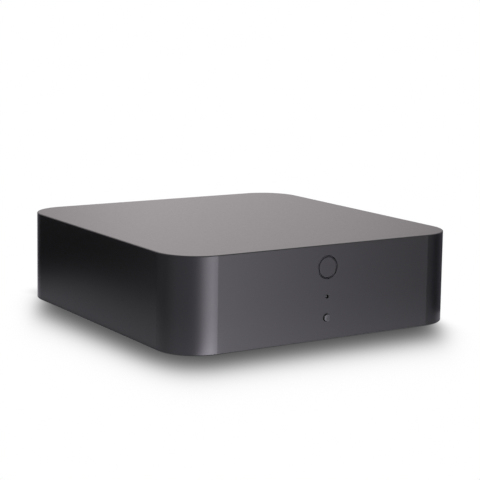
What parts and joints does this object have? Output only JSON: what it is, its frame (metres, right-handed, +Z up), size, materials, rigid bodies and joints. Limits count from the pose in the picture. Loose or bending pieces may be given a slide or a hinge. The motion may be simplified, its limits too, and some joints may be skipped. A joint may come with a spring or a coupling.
{
  "type": "wireless audio hub",
  "caption": "Low square audio streaming box with rounded corners, a flat top, a small light and push button on its front, and a recessed rear panel of audio, network and power sockets.",
  "frame": {"origin": "on the shelf plane, under the centre of the case", "axes": "+Z up; the front with its light and button faces -Y; the sockets face +Y; +X is to the right seen from the front"},
  "size_m": [0.144, 0.1487, 0.0414],
  "materials": {
    "antenna_copper": "satin",
    "badge_polished": "polished",
    "base_black": "matte",
    "board_green": "satin",
    "brass_nickel": "polished",
    "button_grey": "satin",
    "capacitor_can": "satin",
    "capacitor_sleeve": "satin",
    "case_paint": "satin",
    "chip_black": "matte",
    "clip_nylon": "satin",
    "connector_black": "satin",
    "ferrite_dark": "matte",
    "film_yellow": "satin",
    "fuse_brown": "satin",
    "gold_contact": "polished",
    "header_white": "satin",
    "insulator_orange": "satin",
    "insulator_red": "satin",
    "insulator_white": "satin",
    "lead_black": "satin",
    "lead_green": "satin",
    "lead_grey": "satin",
    "lead_red": "satin",
    "led_white": "satin",
    "lens_clear": "gloss",
    "nickel": "polished",
    "pad_grey": "matte",
    "panel_black": "matte",
    "ribbon_white": "satin",
    "rubber_black": "matte",
    "sheet_insulator": "matte",
    "sink_aluminium": "satin",
    "steel_black": "satin",
    "steel_zinc": "satin",
    "tin_shield": "satin"
  },
  "bodies": {
    "case": {"housing": "case_paint", "base_cover": "base_black", "rubber_feet": "rubber_black", "base_screws": "steel_black", "rear_io_panel": "panel_black", "io_panel_screws": "steel_black", "main_board": "board_green", "psu_board": "board_green", "board_screws": "steel_zinc", "processor": "chip_black", "thermal_pad": "pad_grey", "heat_sink": "sink_aluminium", "heat_sink_pins": "clip_nylon", "board_chips": "chip_black", "analog_shield": "tin_shield", "board_capacitors": "capacitor_can", "wifi_module": "tin_shield", "antennas": "antenna_copper", "antenna_cable_right": "lead_black", "antenna_cable_left": "lead_grey", "ethernet_shell": "nickel", "ethernet_insert": "connector_black", "port_contacts": "gold_contact", "usb_shell": "nickel", "usb_insert": "connector_black", "hdmi_shell": "nickel", "hdmi_insert": "connector_black", "optical_receiver": "connector_black", "jack_blocks": "connector_black", "jack_sleeves": "brass_nickel", "insulator_orange": "insulator_orange", "insulator_red": "insulator_red", "insulator_white": "insulator_white", "jack_contacts": "gold_contact", "ground_post": "brass_nickel", "ground_post_nut": "brass_nickel", "ground_lead": "lead_green", "pair_switch": "chip_black", "mains_inlet": "connector_black", "mains_pins": "nickel", "mains_fuse": "fuse_brown", "line_choke": "ferrite_dark", "filter_capacitor": "film_yellow", "psu_capacitors": "capacitor_sleeve", "psu_transformer": "ferrite_dark", "mains_barrier": "sheet_insulator", "board_connectors": "header_white", "power_harness": "lead_red", "front_board": "board_green", "status_led": "led_white", "status_lens": "lens_clear", "front_switch": "chip_black", "front_badge": "badge_polished", "ribbon_cable": "ribbon_white"},
    "front_button": {"front_button": "button_grey"},
    "pair_button": {"pair_button": "connector_black"},
    "optical_shutter": {"optical_shutter": "connector_black"},
    "ground_washer": {"ground_washer": "brass_nickel"},
    "ground_nut": {"ground_nut": "brass_nickel"}
  },
  "joints": [
    {"name": "front_button_press", "type": "slide", "parent": "case", "child": "front_button", "axis": [0, 1, 0], "range_m": [0, 0.0004], "stiffness_N_per_m": 1500},
    {"name": "pair_button_press", "type": "slide", "parent": "case", "child": "pair_button", "axis": [0, -1, 0], "range_m": [0, 0.0004], "stiffness_N_per_m": 1500},
    {"name": "optical_shutter_swing", "type": "hinge", "parent": "case", "child": "optical_shutter", "pos_m": [0.016, 0.0631, 0.01875], "axis": [-1, 0, 0], "range_deg": [0, 80], "stiffness_Nm_per_rad": 0.0002},
    {"name": "ground_washer_travel", "type": "slide", "parent": "case", "child": "ground_washer", "axis": [0, 1, 0], "range_m": [0, 0.0014]},
    {"name": "ground_nut_turn", "type": "hinge", "parent": "ground_washer", "child": "ground_nut", "pos_m": [0.0362, 0.0686, 0.0286], "axis": [0, 1, 0], "range_deg": [0, 720]}
  ],
  "couplings": [
    {"joint": "ground_nut_turn", "follows": "ground_washer_travel", "rad_per_m": 8976}
  ]
}
